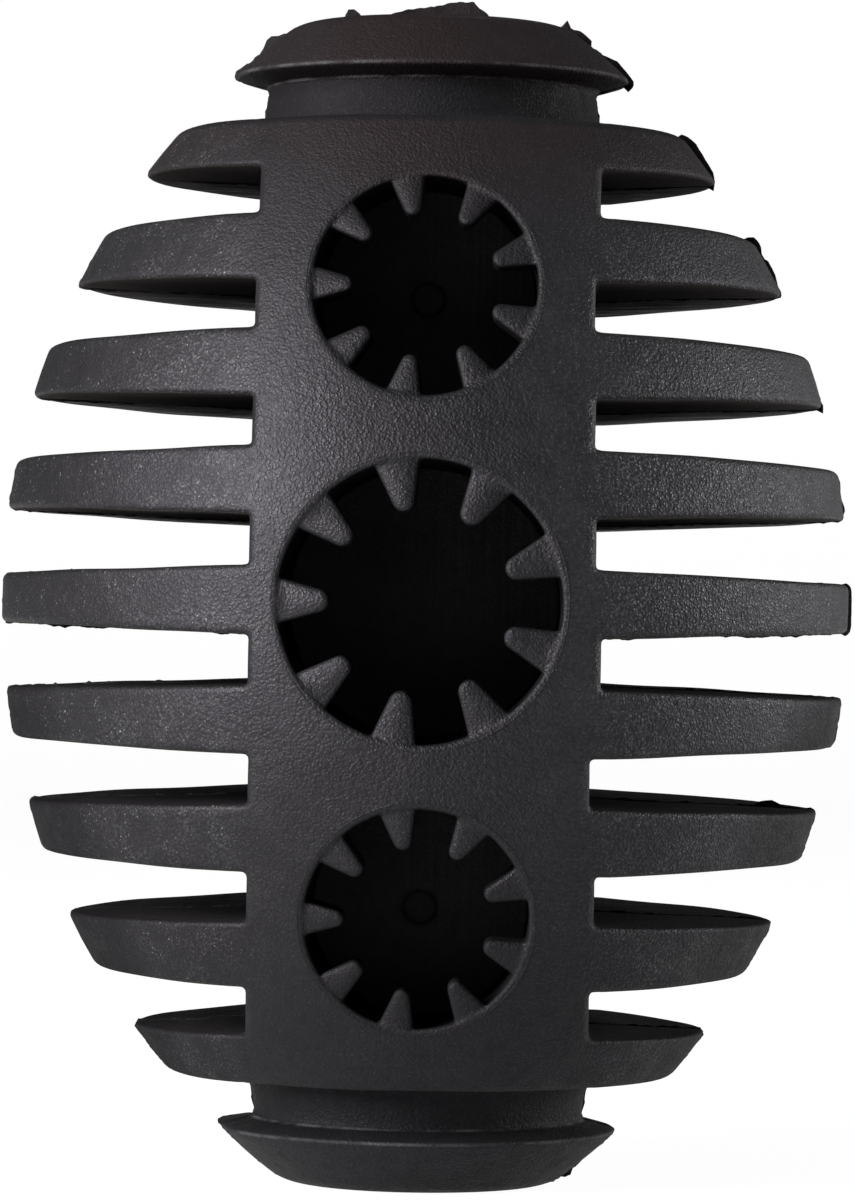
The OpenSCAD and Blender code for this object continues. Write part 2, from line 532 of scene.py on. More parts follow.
def strip_layout(inner=True):
    """The strip laid flat. Its back, on the web, needs no points inside its edges."""
    near = BESIDE if inner else BESIDE[:1]
    points, edges, holes = border_points(near), [], []
    for height, r, _, w in POCKETS.values():
        angles = ring_angles(r, w)
        for d in near:
            points.append(circle(height, r + d, angles))
        edges += loop_edges(circle(height, r, angles))
        holes.append((height, r))
    if inner:
        field = np.array([(x + STEP_X / 2 * (k % 2), z) for k, z in enumerate(np.arange(-45, 45.1, STEP_Z))
                          for x in np.arange(-14.4, 14.5, STEP_X)])
        clear = np.all([np.hypot(field[:, 0], field[:, 1] - height) > r + 1.6 for height, r in holes], axis=0)
        points.append(field[clear & (np.abs(field[:, 0]) < HALF_W - 1.5)])
    return flat_mesh(np.concatenate(points), edges + border_edges(), holes)


def bend(flat, y=None):
    """Lays flat points, given as X and Z, on the front of the outside or on a plane."""
    x, z = flat[:, 0], flat[:, 1]
    front = -np.sqrt(outside_r(z) ** 2 - x ** 2) if y is None else np.full_like(x, y)
    return np.stack([x, front, z], 1)


# %% Walls that run back from the strip
def run_back(line, stops):
    """A wall from a line of points on the strip straight back. Each stop is a depth and the steps up to it."""
    rows = [line[:, 1] + d for d in BESIDE]
    for depth, steps in stops:
        last = rows[-1]
        rows += [last + (depth - last) * k / steps for k in range(1, steps + 1)]
    grid_points = [np.stack([line[:, 0], row, line[:, 2]], 1) for row in rows]
    return np.concatenate(grid_points), grid(len(rows), len(line))


def edge_lines():
    """The strip's four edges, each as a line of flat points."""
    for side in (1, -1):
        yield np.stack([np.full_like(SIDE_Z, side * HALF_W), SIDE_Z], 1)
        yield np.stack([TOP_X, np.full_like(TOP_X, side * BODY_TOP)], 1)


# %% Make both halves of the core
def core_patches():
    face = -WEB_T / 2
    flat, faces = strip_layout()
    patches = [(bend(flat), faces)] + [run_back(bend(line), [(face, 8)]) for line in edge_lines()]
    for height, r, _, w in POCKETS.values():
        ring = circle(height, r, ring_angles(r, w))
        back = -float(outside_r(height)) + TOOTH_LEN
        tooth_end = [(back - BESIDE[-1], 6)] + [(back + d, 1) for d in (-0.45, 0, 0.45, 0.9)]
        floor_edge = [(face - FLOOR_R, 6), (face - FLOOR_R / 2, 1), (face, 1)]
        patches.append(run_back(bend(closed(ring)), tooth_end + floor_edge))
    flat, faces = strip_layout(inner=False)
    patches.append((bend(flat, face), faces))
    return patches


core = core_patches()
make_piece("core_front_moulded", core, body, ["core_front"])
make_piece("core_back_moulded", core, body, ["core_back"], mirror=(1, -1, 1))

# %% [markdown]
# ## Web
# The web closes the pockets. Little of it can be seen: mostly its sides in the gaps and the six round floors. Those
# of the end pockets have a small dimple from the mould's ejector pin, so every floor gets rings of points round its
# middle.

# %% Make the web
FLOOR_RINGS = (0, 0.7, 1.3, 1.7, 2.05, 2.4, 3, 5, 7.5)


def web_patches():
    points, edges = border_points(BESIDE[:1]), []
    for height, r, _, w in POCKETS.values():
        angles = ring_angles(r, w)
        points += [circle(height, r - d, angles) for d in (0, FLOOR_R / 2, FLOOR_R)]
        points += [circle(height, ring_r, np.arange(24) * pi / 12) for ring_r in FLOOR_RINGS]
        edges += loop_edges(circle(height, r, angles))
    flat, faces = flat_mesh(np.concatenate(points), edges + border_edges())
    depths = np.linspace(-WEB_T / 2, WEB_T / 2, 7)
    patches = [(bend(flat, y), faces) for y in depths[[0, -1]]]
    for line in edge_lines():
        patches.append((np.concatenate([bend(line, y) for y in depths]), grid(len(depths), len(line))))
    return patches


make_piece("core_web_moulded", web_patches(), body, ["core_web"])

# %% [markdown]
# ## Teeth
# A tooth is a short bar with a blunt tip. Its outline is drawn flat, shrunk twice for the rounding of its front edge,
# and the walls run back from it.

# %% Make the six rings of teeth
def tooth_ring(height, r, h, w):
    tip, start = tip_r(w, h), tooth_angle(r, w)
    centre = r - h + tip
    root = np.array([r * cos(start), r * sin(start)])
    touch = np.array([centre - tip * sin(TOOTH_FLANK), tip * cos(TOOTH_FLANK)])
    length = np.linalg.norm(root - touch)
    along = np.concatenate([BESIDE, np.linspace(BESIDE[-1], length, 4)[1:]]) / length
    flank = root + (touch - root) * along[:, None]
    turns = np.linspace(pi / 2 + TOOTH_FLANK, pi, 7)[1:]
    nose = np.array([centre, 0]) + tip * np.stack([np.cos(turns), np.sin(turns)], 1)
    half = np.concatenate([flank, nose])
    outward = np.concatenate([np.tile([-sin(TOOTH_FLANK), cos(TOOTH_FLANK)], (len(flank), 1)),
                              np.stack([np.cos(turns), np.sin(turns)], 1)])
    flip = np.array([1, -1])
    line = np.concatenate([half, (half * flip)[-2::-1]])
    outward = np.concatenate([outward, (outward * flip)[-2::-1]])
    near = BESIDE[1] / r
    at_wall = np.array([(r * cos(a), r * sin(a)) for a in (-start + near, 0, start - near)])
    outline = np.round(np.concatenate([line, at_wall]), 4)
    shrunk = [line - outward * d for d in (0.22, 0.45)]
    inside = np.concatenate(shrunk + [np.array([(centre + k, 0) for k in (0, 0.8, 1.6, 2.4)])])
    inside = np.round(inside[np.hypot(inside[:, 0], inside[:, 1]) < r - 0.02], 4)
    flat, faces = flat_mesh(np.concatenate([outline, inside]), loop_edges(outline))
    patches = []
    back = -float(outside_r(height)) + TOOTH_LEN
    for k in range(TEETH):
        a = pi + k * 2 * pi / TEETH
        turn = np.array([[cos(a), sin(a)], [-sin(a), cos(a)]])

        def place(points, y=None):
            spot = points @ turn + [0, height]
            if y is None:
                y = -np.sqrt(outside_r(spot[:, 1], TOOTH_RECESS) ** 2 - spot[:, 0] ** 2)
            return np.stack([spot[:, 0], y * np.ones(len(spot)), spot[:, 1]], 1)

        ring = closed(outline)
        front = place(ring)[:, 1]
        rows = [place(ring, front + d) for d in BESIDE]
        rows += [place(ring, (front + BESIDE[-1]) * (1 - s) + (back - BESIDE[-1]) * s) for s in (0.33, 0.67)]
        rows += [place(ring, back - d) for d in (0.85, 0.45, 0.22, 0)]
        wall = np.concatenate(rows), grid(len(rows), len(ring))
        patches += [(place(flat), faces), (place(flat, back), faces), wall]
    return patches


for row, (height, r, h, w) in POCKETS.items():
    ring = tooth_ring(height, r, h, w)
    make_piece(f"teeth_front_{row}_moulded", ring, body, [f"teeth_front_{row}"])
    make_piece(f"teeth_back_{row}_moulded", ring, body, [f"teeth_back_{row}"], mirror=(1, -1, 1))

# %% [markdown]
# Round each pocket's mouth runs a hair-thin raised line, where the loose core that forms the pocket met the mould. It
# is far finer than the mesh of the strip, so it is a thread of its own, laid on the surface and half sunk in it.

# %% Lay a thread round each mouth
THREAD_R, THREAD_OUT, THREAD_SUNK = 0.085, 0.62, 0.03


def mouth_thread(height, r, count=220, sides=6):
    angles = np.arange(count) * 2 * pi / count
    ring = circle(height, r + THREAD_OUT, angles)
    spots, out = settle(bend(ring), body)
    ahead = np.roll(spots, -1, axis=0) - np.roll(spots, 1, axis=0)
    across = np.cross(ahead, out)
    across /= np.linalg.norm(across, axis=1, keepdims=True)
    size = THREAD_R * (0.8 + 0.2 * np.sin(5 * angles + r))[:, None]
    turns = np.arange(sides + 1) * 2 * pi / sides
    rows = [closed(spots - out * THREAD_SUNK + size * (cos(t) * out + sin(t) * across)) for t in turns]
    return np.concatenate(rows), grid(sides + 1, count + 1)


for row, (height, r, _, _) in POCKETS.items():
    points, faces = weld([mouth_thread(height, r)])
    for face, flip in (("front", 1), ("back", -1)):
        make_mesh(f"mouth_line_{face}_{row}", points * [1, flip, 1], faces)

# %% [markdown]
# ## Necks and caps
# These are round, so each is a line of points turned round the upright axis.

# %% Turn the necks and the caps
def turned(profile, count=144):
    """Turns a line of reach and height round the axis. It starts and ends on the axis, so the piece is closed."""
    angles = np.arange(count + 1) * 2 * pi / count
    circles = [np.stack([reach * np.cos(angles), reach * np.sin(angles), np.full(count + 1, up)], 1)
               for reach, up in profile]
    return np.concatenate(circles), grid(len(circles), count + 1)


def neck_profile():
    low, high = NECK_BODY_D / 2, NECK_CAP_D / 2
    slope = CAP_SLOPE / (RIM_REACH - high)
    foot = [(low + d, BODY_TOP) for d in (1.0, 0.7, 0.4, 0.15, 0)]
    side = [(low + (high - low) * t, BODY_TOP + NECK_LEN * t)
            for t in (0.06, 0.14, 0.24, 0.4, 0.6, 0.78, 0.88, 0.95, 1)]
    head = [(high + d, CAP_BASE + slope * d) for d in (0.12, 0.3, 0.6)]
    return [(0, BODY_TOP)] + foot + side + head + [(0, CAP_BASE)]


def cap_profile():
    low = NECK_CAP_D / 2
    inner = [(low + (RIM_REACH - low) * t, CAP_BASE + CAP_SLOPE * t) for t in (0, 0.1, 0.4, 0.7, 0.85, 0.92, 0.97, 1)]
    heights = [RIM_Z + d for d in (0.15, 0.35, 0.6, 1.2, 2.2, 3.2, 4.1, 4.6, 4.9, 5.2, 5.35)]
    outer = [(float(outside_r(z)), z) for z in heights if z < TOY_LEN / 2 - 0.02]
    end = END_D / 2
    face = [(end - d, TOY_LEN / 2) for d in (0, 0.3, 0.7, 1.1, 1.7, 3, 6, 9)]
    return [(0, CAP_BASE)] + inner + outer + face + [(0, TOY_LEN / 2)]


for side, flip in (("top", 1), ("bottom", -1)):
    make_piece(f"neck_{side}_moulded", [turned([(a, flip * b) for a, b in neck_profile()])], neck, [f"neck_{side}"])
    make_piece(f"cap_{side}_moulded", [turned([(a, flip * b) for a, b in cap_profile()])], cap, [f"cap_{side}"])

# %% [markdown]
# ## Parting line
# The mould's two halves meet in the plane from side to side through the middle. A film of rubber creeps in between
# them and is torn off by hand, which leaves a low ragged edge all round the outline and a few slivers that tore badly.
# The film is a thin blade that stands on the outline, so first the outline itself is followed, from form to form.

# %% Follow the outline down the right side
def walk(corners, step=0.28):
    """Points along straight lines from corner to corner."""
    parts = []
    for (x0, z0), (x1, z1) in zip(corners, corners[1:]):
        count = max(2, int(hypot(x1 - x0, z1 - z0) / step))
        t = np.linspace(0, 1, count, endpoint=False)[:, None]
        parts.append(np.array([x0, z0]) + t * (np.array([x1, z1]) - np.array([x0, z0])))
    return np.concatenate(parts)


def outside_line(high, low, count):
    return [(float(outside_r(z)), z) for z in np.linspace(high, low, count)]


def comb_line():
    """Corners down the right side of the finned body, out and in along each fin."""
    corners = []
    for n in range(1, FINS + 1):
        middle = fin_z(n)
        root = [(HALF_W, middle + side * FIN_ROOT_T / 2) for side in (1, -1)]
        high, low = min(BODY_TOP, middle + FIN_TIP_T / 2), max(-BODY_TOP, middle - FIN_TIP_T / 2)
        corners += (root[:1] if n > 1 else []) + outside_line(high, low, 4) + (root[1:] if n < FINS else [])
    return corners


def right_outline():
    """The outline from the top face round the right side to the foot, with the way out of the rubber."""
    at_cap, at_body, shoulder = (NECK_CAP_D / 2, CAP_BASE), (NECK_BODY_D / 2, BODY_TOP), NECK_BODY_D / 2 + 1.2
    head = [(cap, walk([(0, TOY_LEN / 2)] + outside_line(TOY_LEN / 2, RIM_Z, 6) + [at_cap])),
            (neck, walk([at_cap, at_body, (shoulder, BODY_TOP)]))]
    sides = [(body, walk([(shoulder, BODY_TOP)] + comb_line() + [(shoulder, -BODY_TOP)]))]
    foot = [(field, (line * [1, -1])[::-1]) for field, line in head[::-1]]
    points, normals = [], []
    for field, line in head + sides + foot:
        p, out = settle(np.stack([line[:, 0], 0 * line[:, 0], line[:, 1]], 1), field)
        points.append(p[:, [0, 2]])
        normals.append(out[:, [0, 2]])
    points, normals = np.concatenate(points), np.concatenate(normals)
    apart = np.concatenate([[True], np.linalg.norm(np.diff(points, axis=0), axis=1) > 0.05])
    return points[apart], normals[apart] / np.linalg.norm(normals[apart], axis=1, keepdims=True)


# %% [markdown]
# The ragged height comes from sums of sines with lengths that never fall into step, so it needs no random numbers.
# The slivers are given as corners in the parting plane, and each stands up from the nearest place on the outline.

# %% The slivers
FILM_T, FILM_ROOT, FILM_LEAST = 0.26, 0.3, 0.05
SLIVERS = {
    "right": [[(0, 59.7), (2.1, 60.2), (3.9, 60.2), (4.6, 59.6), (5.4, 59.0), (5.9, 58.0)],
              [(12.9, 58.0), (13.4, 58.5), (13.6, 57.8)],
              [(14.0, 57.6), (14.6, 57.5), (15.2, 57.1), (15.8, 56.5), (15.9, 55.9)],
              [(16.5, 55.0), (16.7, 55.2), (18.5, 54.4), (19.8, 52.9), (20.0, 51.9), (19.5, 51.4)],
              [(24.4, 46.9), (24.8, 47.3), (26.5, 46.2), (28.1, 43.6), (28.4, 42.4), (28.1, 41.6)],
              [(31.0, 36.6), (31.2, 36.8), (32.3, 37.1), (33.2, 35.3), (33.5, 34.8)],
              [(33.6, 34.5), (33.8, 34.7), (34.5, 33.4), (34.8, 31.9), (34.6, 31.5)],
              [(39.0, 20.6), (39.5, 20.0), (39.3, 19.4)], [(42.1, 2.6), (42.5, 2.2), (42.5, -2.2), (42.1, -2.6)],
              [(33.2, -19.7), (33.9, -19.25), (34.9, -19.1), (35.8, -19.5), (36.3, -19.8)],
              [(13.1, -57.6), (13.6, -57.6), (14.0, -57.3)], [(14.8, -57.1), (15.3, -56.9), (15.5, -56.2)]],
    "left": [[(0, 59.7), (0.4, 59.7), (2.7, 59.4), (4.4, 58.9), (5.2, 58.0)],
             [(6.9, 58.0), (7.3, 58.9), (7.9, 59.4), (8.5, 59.3), (8.8, 58.8), (9.2, 57.9)],
             [(14.9, 56.9), (15.5, 56.6), (16.2, 56.6), (16.6, 56.2), (17.1, 55.2), (17.5, 54.4)],
             [(18.7, 53.7), (19.1, 53.4), (19.9, 52.8), (19.8, 52.3), (19.3, 51.9)],
             [(16.8, -51.1), (18.8, -51.4), (19.9, -51.7), (20.0, -52.3)],
             [(35.2, 2.8), (35.5, 3.0), (35.8, 2.8)], [(33.4, 2.9), (33.9, 3.0), (34.3, 2.9)],
             [(41.8, -2.3), (41.9, -2.6), (41.3, -2.6)], [(35.6, -2.8), (36.1, -3.0), (36.5, -2.8)],
             [(36.6, -8.6), (37.0, -8.4), (37.3, -8.6)], [(33.0, -8.5), (33.6, -8.2), (34.2, -8.5)],
             [(30.4, -8.4), (31.6, -8.2), (32.3, -8.4)]]}


# %% Height of the torn edge
def ragged(s):
    """Height at a length along the outline: about a tenth of a millimetre, with a low lump here and there."""
    wave = np.sin(1.9 * s + 0.4) + np.sin(3.7 * s + 1.3 + np.sin(0.7 * s)) + 1.2 * np.sin(0.37 * s + 2)
    lumps = np.clip(1.6 * np.sin(1.3 * s + 2 * np.sin(0.31 * s)) * np.sin(0.53 * s + 1) - 0.9, 0, 0.5)
    nibbles = 0.02 * np.sin(9.1 * s) + 0.015 * np.sin(17 * s)
    return 0.07 + 0.13 * np.clip(0.3 + 0.28 * wave, 0, 1) ** 1.4 + 0.2 * lumps + nibbles


def film_height(points, normals, slivers):
    """Lengths along the outline and the film's height there, the higher of its ragged edge and a sliver."""
    s = np.concatenate([[0], np.cumsum(np.linalg.norm(np.diff(points, axis=0), axis=1))])
    height = ragged(s)
    for corners in slivers:
        corners = np.array(corners)
        nearest = [int(np.argmin(np.hypot(*(points - c).T))) for c in corners]
        rise = [max(FILM_LEAST, float((c - points[k]) @ normals[k])) for c, k in zip(corners, nearest)]
        place = s[nearest]
        order = np.argsort(place)
        lift = np.interp(s, place[order], np.array(rise)[order], left=0, right=0)
        height = np.where(lift > 0, np.maximum(height, lift * (1 + 0.02 * np.sin(5.3 * s))), height)
    return s, height


# %% Raise the blade
def film(side, mirror):
    points, normals = right_outline()
    s, height = film_height(points, normals, SLIVERS[side])
    lean = 0.05 * np.sin(0.9 * s) + 0.12 * np.clip(height - 0.3, 0, 1) * np.sin(0.8 * s + 1)
    foot, tip = points - normals * FILM_ROOT, points + normals * height[:, None]
    # The toy stands on its foot, so no film hangs below it
    tip[:, 1] = np.maximum(tip[:, 1], -TOY_LEN / 2)
    thick = np.minimum(FILM_T, 0.10 + 0.12 * height)
    rows = [(foot, -FILM_T / 2), (points, -FILM_T / 2), (tip, lean - thick / 2), (tip, lean + thick / 2),
            (points, FILM_T / 2), (foot, FILM_T / 2)]
    ring = [np.stack([p[:, 0] * mirror, y + 0 * s, p[:, 1]], 1) for p, y in rows]
    return np.concatenate(ring), grid(len(rows), len(s), loop=True) + shut(len(rows), len(s))


make_mesh("flash_right", *film("right", 1), smooth=False)
make_mesh("flash_left", *film("left", -1), smooth=False)

# %% [markdown]
# ## Rubber
# Shader maths reads best as a sum. The small class below wraps a socket, so that an expression such as 1 - mask adds
# the Math node that works it out. Every other node comes from its one method.

# %% A wrapper for sockets
class Flow:
    """A value on its way through a material's nodes."""

    def __init__(self, tree, socket=None):
        self.tree, self.socket = tree, socket

    def node(self, kind, settings=None, inputs=None, out=0):
        """Adds a node, sets it, fills or links its sockets, and gives one of its outputs."""
        made = self.tree.nodes.new(kind)
        for key, value in (settings or {}).items():
            setattr(made, key, value)
        for key, value in (inputs or {}).items():
            if isinstance(value, Flow):
                self.tree.links.new(value.socket, made.inputs[key])
            else:
                made.inputs[key].default_value = value
        return Flow(self.tree, made.outputs[out] if len(made.outputs) else None)

    def math(self, operation, a, b=0.0):
        return self.node("ShaderNodeMath", {"operation": operation}, {0: a, 1: b})

    def __add__(self, other): return self.math("ADD", self, other)
    def __radd__(self, other): return self.math("ADD", other, self)
    def __sub__(self, other): return self.math("SUBTRACT", self, other)
    def __rsub__(self, other): return self.math("SUBTRACT", other, self)
    def __mul__(self, other): return self.math("MULTIPLY", self, other)
    def __rmul__(self, other): return self.math("MULTIPLY", other, self)


def new_material(name):
    """An empty material and a flow that adds nodes to it."""
    material = bpy.data.materials.new(name)
    material.use_nodes = True
    material.node_tree.nodes.clear()
    return material, Flow(material.node_tree)


# %% Numbers from numbers
def part(vector, axis):
    return vector.node("ShaderNodeSeparateXYZ", None, {0: vector}, out=axis)


def size_of(value):
    return value.math("ABSOLUTE", value)


def larger(a, b):
    return a.math("MAXIMUM", a, b)


def ramp(value, low, high):
    """0 below low, 1 above high."""
    return value.node("ShaderNodeMapRange", {"interpolation_type": "SMOOTHSTEP"},
                      {"Value": value, "From Min": low, "From Max": high})


def band(value, middle, half):
    """1 at a place along the value, falling to 0 on both sides of it."""
    return 1 - ramp(size_of(value - middle), 0.3 * half, half)


# %% Patterns and colours
def noise(where, scale, detail=2.0, roughness=0.5, out=0):
    return where.node("ShaderNodeTexNoise", {"noise_dimensions": "3D"},
                      {"Vector": where, "Scale": scale, "Detail": detail, "Roughness": roughness}, out)


def cells(where, scale, out=0):
    """Distance to the nearest of many scattered points, or the random colour of its cell."""
    return where.node("ShaderNodeTexVoronoi", {"voronoi_dimensions": "3D", "feature": "F1"},
                      {"Vector": where, "Scale": scale}, out)


def specks(where, scale, size):
    """Round specks of one size, each as bright as its own random number says."""
    luck = part(cells(where, scale, out=1), 0)
    return (1 - ramp(cells(where, scale), 0.5 * size * scale, size * scale)) * luck * luck


def tint(colour, shade=1.0):
    return [c * shade for c in colour] + [1]


def mix_colours(share, a, b):
    return share.node("ShaderNodeMix", {"data_type": "RGBA"}, {0: share, 6: a, 7: b}, out=2)


# %% [markdown]
# The moulding is one colour, but it was worn and dusted unevenly, and the mould's tool marks differ from face to face.
# Some regions also carry painted light and shade: darker fin tips, neck and pockets, and paler fin undersides and
# pocket floors. A painted map would do for one picture only. Here each region is found from where a point lies on the
# toy, in millimetres, and from the way its face looks, so the finish stays put from any side.

# %% Find a point's region
GAP_SIDE, CORE_SIDE, POCKETS_END = (16.0, 16.5), (15.5, 15.9), (44.0, 44.6)


def find_place(flow):
    """Where a point lies, and masks from 0 to 1 for the regions of the toy."""
    at = SimpleNamespace()
    place, facing = (flow.node("ShaderNodeTexCoord", out=kind) for kind in ("Object", "Normal"))
    at.where = flow.node("ShaderNodeVectorMath", {"operation": "SCALE"}, {0: place, "Scale": 1 / MM})
    at.across, at.into, at.up = (part(at.where, axis) for axis in range(3))
    at.side, at.height = size_of(at.across), size_of(at.up)
    at.topside = ramp(part(facing, 2), 0.0, 0.1)
    level = ramp(size_of(part(facing, 2)), 0.75, 0.95)
    at.gap = level * ramp(at.side, *GAP_SIDE) * (1 - ramp(at.height, 46.0, 47.0))
    pockets = (1 - ramp(at.side, *CORE_SIDE)) * (1 - ramp(at.height, *POCKETS_END))
    at.hole = (1 - ramp(size_of(part(facing, 1)), 0.25, 0.75)) * pockets
    at.floors = (1 - ramp(size_of(at.into), 9.5, 14.0)) * pockets * (1 - at.hole)
    at.groove = ramp(at.up, 45.8, 46.4) * (1 - ramp(at.up, 50.6, 51.2))
    at.high = ramp(at.up, 34.0, 50.0) * (1 - at.groove) * (1 - ramp(0 - at.across, 4.0, 16.0) * 0.6)
    at.ends = ramp(at.height, 12.0, 52.0)
    at.left = ramp(0 - at.across, 3.0, 14.0)
    return at


# %% [markdown]
# The grain is the mark of an eroded mould: small pebbles, bent by a noise so that no row shows, over a slow mottle.
# All pieces take their pattern from the same place in space, so the grain runs over every joint without a break. Pale
# dust and bloom sit where the fins are worn. Thin pale lines run round the necks and the caps, partly dust on worn
# edges and partly a painted highlight along their roundings.

# %% Find the grain and the marks on it
def find_skin(at):
    """Patterns from 0 to 1 that the colour, the gloss and the relief share."""
    skin = SimpleNamespace()
    push = at.where.node("ShaderNodeVectorMath", {"operation": "SCALE"},
                         {0: noise(at.where, 1.6, 1.0, out=1), "Scale": 0.5})
    bent = at.where.node("ShaderNodeVectorMath", {"operation": "ADD"}, {0: at.where, 1: push})
    skin.pebble = 1 - cells(bent, 3.3)
    skin.mottle = noise(at.where, 0.28, 4.0, 0.62)
    skin.worn = ramp(noise(at.where, 0.3, 3.0, 0.6), 0.38, 0.7) * ramp(at.side, 15.0, 20.0)
    dust = larger(specks(at.where, 1.15, 0.12), specks(at.where, 2.4, 0.1))
    skin.dust = dust * (0.15 + 0.85 * skin.worn) * (1 - at.hole)
    streak = ramp(noise(at.where, 0.35), 0.35, 0.7)
    # The pale lines are partly dust on worn edges and partly a painted highlight where the roundings would catch the
    # light.
    neck_lines = larger(band(at.height, 51.22, 0.16), band(at.height, 52.35, 0.22) * 0.6)
    cap_line = band(at.height, 57.35, 0.14) * ramp(at.across, -3.0, 3.0) * 0.5
    skin.lines = larger(neck_lines * streak, cap_line * streak)
    combed = at.where.node("ShaderNodeVectorMath", {"operation": "MULTIPLY"}, {0: at.where, 1: (0.07, 0.9, 1.0)})
    skin.stripe = ramp(noise(combed, 1.0, 3.0, 0.6), 0.42, 0.6)
    skin.behind = ramp(at.into + noise(at.where, 0.6) * 2, 0.6, 1.6)
    return skin


# %% Colour of the outside, with painted shade and glints
BLACK, GREY, BLOOM = (0.0058, 0.0056, 0.0062), (0.0150, 0.0145, 0.0162), (0.058, 0.057, 0.060)
SHADE_TONE, WARM = (0.0030, 0.0028, 0.0034), (0.0130, 0.0062, 0.0056)


def outside_colour(at, skin, shade):
    """Charcoal with bloom on worn fins and warmer high up, plus painted shade and painted glints."""
    # Pebble tops are made lighter as a painted glint, and the colour darkens towards both ends as painted shade.
    spotted = ramp(skin.mottle * (0.6 + at.ends * 0.5) + skin.pebble * 0.5 - at.ends * 0.5, 0.35, 0.85)
    charcoal = mix_colours(spotted, tint(BLACK, shade), tint(GREY, shade))
    bloomed = mix_colours(skin.worn * ramp(skin.pebble, 0.4, 0.8) * 0.5, charcoal, tint(BLOOM, shade))
    # Painted shade: the left fin tips, the low right tips and the top neck under its cap are darkened, and the middle
    # of the core is darker too.
    low_right = ramp(at.across, 28.0, 40.0) * ramp(0 - at.up, 5.0, 15.0)
    tips = larger(ramp(0 - at.across, 20.0, 38.0), low_right)
    core = 1 - ramp(at.side, 6.0, 15.0)
    painted_shade = larger(tips * 0.75, larger(at.groove * 0.8, core * 0.35))
    return mix_colours(at.high * 0.7, mix_colours(painted_shade, bloomed, tint(SHADE_TONE, shade)), tint(WARM, shade))


# %% [markdown]
# A fin's underside is painted paler, as painted light from below, and behind the parting line it carries pale stripes,
# a painted reflection of the bright room behind. Its topside is painted dark, as painted shade. A pocket's floor
# copies the milled end of the steel core that forms it: fine upright lines and, in the end pockets, the ring of an
# ejector pin.
# Its painted light, paler downwards and to the right, would need a map, but ramps along two directions and one
# stretched noise come close to it.

# %% Painted light and shade in the gaps
UNDERSIDE_PAINTED_LIGHT, TOPSIDE_PAINTED_SHADE = (0.0480, 0.0400, 0.0360), (0.0060, 0.0050, 0.0045)
REFLECTION_STRIPE_DARK, REFLECTION_STRIPE_PALE = (0.0300, 0.0250, 0.0220), (0.0700, 0.0600, 0.0520)


# Painted light: undersides paler, with pale stripes behind the parting line as a painted reflection; painted shade on
# the topsides.
def gap_painted_light(at, skin):
    striped = mix_colours(skin.stripe, tint(REFLECTION_STRIPE_DARK), tint(REFLECTION_STRIPE_PALE))
    return mix_colours(at.topside, mix_colours(skin.behind, tint(UNDERSIDE_PAINTED_LIGHT), striped), tint(TOPSIDE_PAINTED_SHADE))


# %% Colour of the pockets, with painted shade and painted light
# The walls' colour is painted shade.
POCKET_WALL_PAINTED_SHADE, PIN_RING = (0.004, 0.004, 0.0043), (0.004, 0.004, 0.005)
TOP_FLOOR_PAINTED_LIGHT = (0.018, 0.016, 0.020), (0.125, 0.108, 0.110)
OTHER_FLOORS_PAINTED_LIGHT = (0.010, 0.010, 0.012), (0.078, 0.073, 0.072)
PIN_R = 1.6


def floor_marks_and_painted_light(at):
    """A floor with painted light, paler downwards and to the right, and with milled lines and the pin's ring."""
    from_axis = at.up - at.up.math("ROUND", at.up * (1 / POCKET_PITCH)) * POCKET_PITCH
    milled = at.where.node("ShaderNodeVectorMath", {"operation": "MULTIPLY"}, {0: at.where, 1: (2.5, 1.0, 0.06)})
    comb = noise(milled, 1.0) - 0.5
    # Painted light: paler downwards and to the right.
    pale = ramp(0 - from_axis, -8.0, 12.0) + ramp(at.across, -6.0, 6.0) * (0.22 + comb * 0.5)
    top, other = (mix_colours(pale, tint(dark), tint(light)) for dark, light in (TOP_FLOOR_PAINTED_LIGHT, OTHER_FLOORS_PAINTED_LIGHT))
    from_pin = at.up.math("SQRT", at.across * at.across + from_axis * from_axis)
    ring = band(from_pin, PIN_R, 0.3) * ramp(at.height, 20.0, 22.0) * 0.75
    return mix_colours(ring, mix_colours(ramp(at.up, 12.0, 18.0), other, top), tint(PIN_RING))


# %% [markdown]
# Rubber reflects light in two ways: a matt one all over, and a soft gloss on the pebbles that are polished. So the
# finish is a Principled surface whose roughness follows the grain, mixed with a plain matt one where dust or use has
# taken the gloss away.

# %% Gloss and dullness
def roughness(at, skin):
    polish = ramp(skin.pebble, 0.55, 0.8) * (1 - at.gap) * (1 - at.ends * 0.4)
    beside_core = 1 - ramp(0 - at.across, 17.0, 22.0)
    matt = 0.495 + skin.mottle * 0.24 + at.ends * 0.12 + at.groove * 0.1
    matt = matt + at.gap * (0.28 - skin.behind * skin.stripe * 0.3)
    return matt - polish * (0.27 - at.left * 0.14) - at.left * beside_core * 0.08


def dullness(at):
    """Share of the plain matt surface."""
    low_tips = ramp(at.side + at.height * 0.42, 37.0, 44.0) * ramp(0 - at.up, 2.0, 12.0)
    low_half = ramp(0 - at.up, 5.0, 45.0)
    outer = larger(low_tips * (0.46 + at.left * 0.2), (low_half + at.high) * 0.34 + at.groove * 0.4)
    inner = larger(at.hole * 0.85, at.gap * at.topside * 0.45)
    patches = ramp(noise(at.where, 0.55, 3.0, 0.7), 0.4, 0.7) * 0.13
    return larger(inner, outer) + patches * (1 - at.hole)


# %% The rubber and its torn film
LINE_DUST_AND_HIGHLIGHT, DUST = (0.10, 0.10, 0.105), (0.20, 0.198, 0.195)
MATT = (0.0080, 0.0074, 0.0080)
GRAIN_DEPTH, FILM_GRAIN_DEPTH = 0.09 * MM, 0.03 * MM


